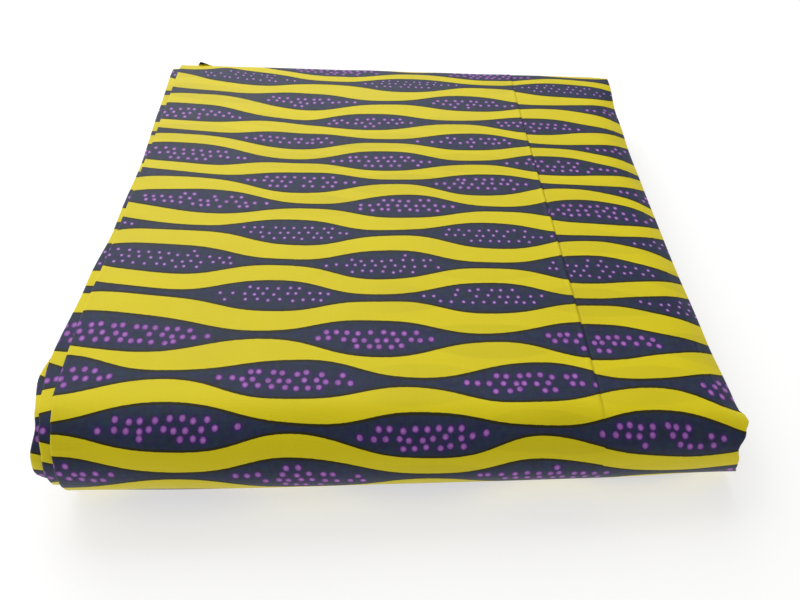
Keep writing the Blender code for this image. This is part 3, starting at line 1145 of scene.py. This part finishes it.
def printed_cotton(name, sizes, colours, wear_and_highlight_share):
    """Plain woven cotton with the wax print, paler along its folds: partly wear, partly a painted highlight
    on the fold ridges.
    """
    paint = Paint(name)
    place = paint.node("ShaderNodeUVMap", {"uv_map": CLOTH_MAP})
    metres_across, metres_along, _ = paint.parts(place)
    across = metres_across / MM
    along = metres_along / MM
    ragged = paint.noise(place, *RAGGED_EDGES) - 0.5
    patches = paint.noise(place, *DYE_PATCHES) - 0.5
    threads, mixed_threads = weave(paint, sizes, across, along)

    def uneven(plain, shares):
        """A number that the dye patches and the threads make uneven."""
        return plain + patches * shares[0] + mixed_threads * shares[1]

    drawn_across, drawn_along = drifted(paint, across, along)
    distance, _ = stripe(paint, sizes, drawn_across, drawn_along)
    distance = distance + ragged * RAGGED_STRIPE
    dot_distance, dot_size = dots(paint, sizes, across, along)
    dot_distance = dot_distance + ragged * RAGGED_DOT
    half_a_lens = sizes.lens_spacing / 2
    ghost_distance, _ = stripe(paint, sizes, drawn_across + half_a_lens, drawn_along - GHOST_BACK)
    thin_places = ((paint.noise(place, *THIN_PLACES) - THIN_LEVEL) * THIN_STEEPNESS).clamped()
    ghost = ghost_distance.within(GHOST_EDGE) * thin_places

    ground = paint.toned(colours.ground[:], uneven(1.0, GROUND_UNEVEN) - ghost * GHOST_SHARE)
    hues = paint.colour_mix(1.0, paint.noise(place, *FLECKS, output="Color"), DOUBLED, "MULTIPLY")
    flecked = paint.colour_mix(FLECK_SHARE, UNCHANGED, hues)
    navy = paint.colour_mix(1.0, colours.stripe[:], flecked, "MULTIPLY")
    navy = paint.toned(navy, uneven(1.0, STRIPE_UNEVEN))
    purple = paint.colour_mix(dot_size, colours.small_dot[:], colours.dot[:])
    purple = paint.toned(purple, uneven(1.0, DOT_UNEVEN) + ragged * RAGGED_DOT_TONE)

    colour = paint.colour_mix(distance.within(STRIPE_EDGE), ground, navy)
    line = (abs(distance) - sizes.outline).within(OUTLINE_EDGE)
    colour = paint.colour_mix(line, colour, colours.outline[:])
    halo = (dot_distance - HALO_REACH).within(HALO_EDGE) * HALO_SHARE
    colour = paint.colour_mix(halo, colour, colours.halo[:])
    core = (dot_distance + CORE_INSET).within(CORE_EDGE) * (1.0 - CORE_SHARE_AT_RIM) + CORE_SHARE_AT_RIM
    inked = paint.colour_mix(core, colours.rim[:], purple)
    colour = paint.colour_mix(dot_distance.within(DOT_EDGE), colour, inked)
    # Paler colour along folds and raw ends, spread by scuffs: partly wear, partly a painted highlight on
    # the fold ridges
    worn_and_highlit = paint.node("ShaderNodeAttribute", {"attribute_name": WEAR_AND_HIGHLIGHT}, output="Fac")
    colour = paint.colour_mix(worn_and_highlit * paint.noise(place, *SCUFFS) * wear_and_highlight_share, colour, colours.worn_and_highlit[:])

    height = uneven(threads * BUMP_THREADS, BUMP_UNEVEN)
    bump = paint.node("ShaderNodeBump", None, Strength=BUMP_STRENGTH, Distance=BUMP_HEIGHT, Height=height)
    roughness = uneven(ROUGHNESS, ROUGHNESS_UNEVEN)
    paint.finish({"Base Color": colour, "Roughness": roughness, "Normal": bump, **COTTON_FINISH})
    return paint.material


def dress(piece, material, nodes):
    """Give a piece its finish, tie it to the packet and hide the solids it stands for."""
    piece.data.materials.append(material)
    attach(piece, BODY)
    if nodes:
        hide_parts(*nodes)
    return piece


def flat_size(packet, depth):
    """Flat width and length of a leaf at a depth: from back to front and round to the back again."""
    reach = packet.reach(MIDDLE_X) - depth
    half_height = packet.height(MIDDLE_X) / 2 - depth
    round_roll = math.pi * math.sqrt((reach ** 2 + half_height ** 2) / 2)
    return packet.sizes.width + SIDES_WIDTH, 2 * packet.sizes.top_length + round_roll


def cloth_material(context, edges=False):
    """The printed cotton, made once for the leaves that show and once for the edges."""
    name = "Printed cotton, folded edges" if edges else "Printed cotton"
    found = bpy.data.materials.get(name)
    if found:
        return found
    wear_and_highlight_share = WEAR_AND_HIGHLIGHT_ON_EDGES if edges else WEAR_AND_HIGHLIGHT_ON_FACES
    return printed_cotton(name, context.scene.print_sizes, context.scene.print_colours, wear_and_highlight_share)


class FOLDEDCLOTH_OT_outer_leaf(bpy.types.Operator):
    """Make the leaf that wraps the packet: the top, the front roll and the underside"""

    bl_idname = "folded_cloth.outer_leaf"
    bl_label = "Outer leaf"

    def execute(self, context):
        packet = Packet(context.scene.packet_sizes)
        leaf = outer_leaves()[0]
        piece = dress(make_leaf(packet, leaf), cloth_material(context), [leaf.name])
        flat_size(packet, 0.0)
        return {"FINISHED"}


class FOLDEDCLOTH_OT_side_leaves(bpy.types.Operator):
    """Make the second and third leaves, which step out along the left edge"""

    bl_idname = "folded_cloth.side_leaves"
    bl_label = "Side leaves"

    def execute(self, context):
        packet = Packet(context.scene.packet_sizes)
        for layer, leaf in enumerate(outer_leaves()[1:], 1):
            piece = dress(make_leaf(packet, leaf), cloth_material(context), [leaf.name])
            flat = flat_size(packet, layer * packet.leaf_pitch)
        return {"FINISHED"}


class FOLDEDCLOTH_OT_hidden_leaves(bpy.types.Operator):
    """Make the leaves inside the packet, whose folds show at the sides and at the back"""

    bl_idname = "folded_cloth.hidden_leaves"
    bl_label = "Hidden leaves"

    def execute(self, context):
        packet = Packet(context.scene.packet_sizes)
        for leaf in hidden_leaves():
            material = cloth_material(context, edges=True)
            piece = dress(make_leaf(packet, leaf), material, ["hidden_layers"])
            depth, _ = leaf_depth(packet, leaf, MIDDLE_X, 0.0)
            flat_size(packet, depth)
        return {"FINISHED"}


class FOLDEDCLOTH_OT_turned_corner(bpy.types.Operator):
    """Make the corner of the second leaf that is turned up over the back edge"""

    bl_idname = "folded_cloth.turned_corner"
    bl_label = "Turned corner"

    def execute(self, context):
        packet = Packet(context.scene.packet_sizes)
        piece = dress(make_turned_corner(packet), cloth_material(context), [])
        return {"FINISHED"}


class FOLDEDCLOTH_OT_stage(bpy.types.Operator):
    """Make the floor, the lights and the camera"""

    bl_idname = "folded_cloth.stage"
    bl_label = "Stage"

    def execute(self, context):
        look = context.scene.stage_look
        make_floor(look)
        make_lights(look)
        make_camera(look)
        return {"FINISHED"}


def make_floor(look):
    """A plain pale floor under the packet."""
    floor = bmesh.new()
    bmesh.ops.create_grid(floor, x_segments=1, y_segments=1, size=FLOOR_REACH)
    mesh = bpy.data.meshes.new("floor")
    floor.to_mesh(mesh)
    floor.free()
    piece = bpy.data.objects.new("floor", mesh)
    bpy.context.scene.collection.objects.link(piece)
    paint = Paint("Pale floor")
    paint.finish({"Base Color": (*look.floor, 1.0), "Emission Strength": look.glow, **FLOOR_FINISH})
    mesh.materials.append(paint.material)


def make_area_light(name, place, size, power):
    """A soft square light that faces the packet."""
    light = bpy.data.lights.new(name, "AREA")
    light.size = size
    light.energy = power
    lamp = bpy.data.objects.new(name, light)
    lamp.location = place
    lamp.rotation_euler = (-Vector(place)).to_track_quat("-Z", "Y").to_euler()
    bpy.context.scene.collection.objects.link(lamp)


def make_lights(look):
    """Soft studio light from a broad screen behind, and from the left."""
    world = bpy.data.worlds.new("Studio")
    world.use_nodes = True
    sky = world.node_tree.nodes["Background"]
    sky.inputs["Color"].default_value = WHITE
    sky.inputs["Strength"].default_value = look.sky
    bpy.context.scene.world = world
    bpy.context.scene.view_settings.view_transform = "Standard"
    make_area_light("Key light", KEY_PLACE, KEY_SIZE, look.key)
    make_area_light("Side light", SIDE_PLACE, SIDE_SIZE, look.side)


def make_camera(look):
    """The camera at the photograph's place and angle."""
    data = bpy.data.cameras.new("Camera")
    data.lens = look.lens
    data.sensor_width = SENSOR_WIDTH
    camera = bpy.data.objects.new("Camera", data)
    right = Vector(CAMERA_RIGHT)
    up = -Vector(CAMERA_DOWN)
    back = -Vector(CAMERA_FORWARD)
    turned = Matrix((right, up, back)).transposed().to_4x4()
    camera.matrix_world = Matrix.Translation(CAMERA_PLACE) @ turned
    bpy.context.scene.collection.objects.link(camera)
    bpy.context.scene.camera = camera


GROUPS = (
    ("packet_sizes", PacketSizes),
    ("print_sizes", PrintSizes),
    ("print_colours", PrintColours),
    ("stage_look", StageLook),
)
OPERATORS = (
    FOLDEDCLOTH_OT_outer_leaf,
    FOLDEDCLOTH_OT_side_leaves,
    FOLDEDCLOTH_OT_hidden_leaves,
    FOLDEDCLOTH_OT_turned_corner,
    FOLDEDCLOTH_OT_stage,
)


class FOLDEDCLOTH_PT_panel(bpy.types.Panel):
    """Sizes, colours and makers of the folded cloth"""

    bl_idname = "FOLDEDCLOTH_PT_panel"
    bl_label = "Folded cloth"
    bl_space_type = "VIEW_3D"
    bl_region_type = "UI"
    bl_category = "Folded cloth"

    def draw(self, context):
        for attribute, group in GROUPS:
            box = self.layout.box()
            box.label(text=group.bl_rna.name)
            for name in group.__annotations__:
                box.prop(getattr(context.scene, attribute), name)
        for operator in OPERATORS:
            self.layout.operator(operator.bl_idname)


def register():
    for attribute, group in GROUPS:
        bpy.utils.register_class(group)
        setattr(bpy.types.Scene, attribute, PointerProperty(type=group))
    for operator in OPERATORS:
        bpy.utils.register_class(operator)
    bpy.utils.register_class(FOLDEDCLOTH_PT_panel)


def unregister():
    bpy.utils.unregister_class(FOLDEDCLOTH_PT_panel)
    for operator in reversed(OPERATORS):
        bpy.utils.unregister_class(operator)
    for attribute, group in reversed(GROUPS):
        delattr(bpy.types.Scene, attribute)
        bpy.utils.unregister_class(group)


def main():
    register()
    bpy.ops.folded_cloth.outer_leaf()
    bpy.ops.folded_cloth.side_leaves()
    bpy.ops.folded_cloth.hidden_leaves()
    bpy.ops.folded_cloth.turned_corner()
    bpy.ops.folded_cloth.stage()


if __name__ == "__main__":
    main()
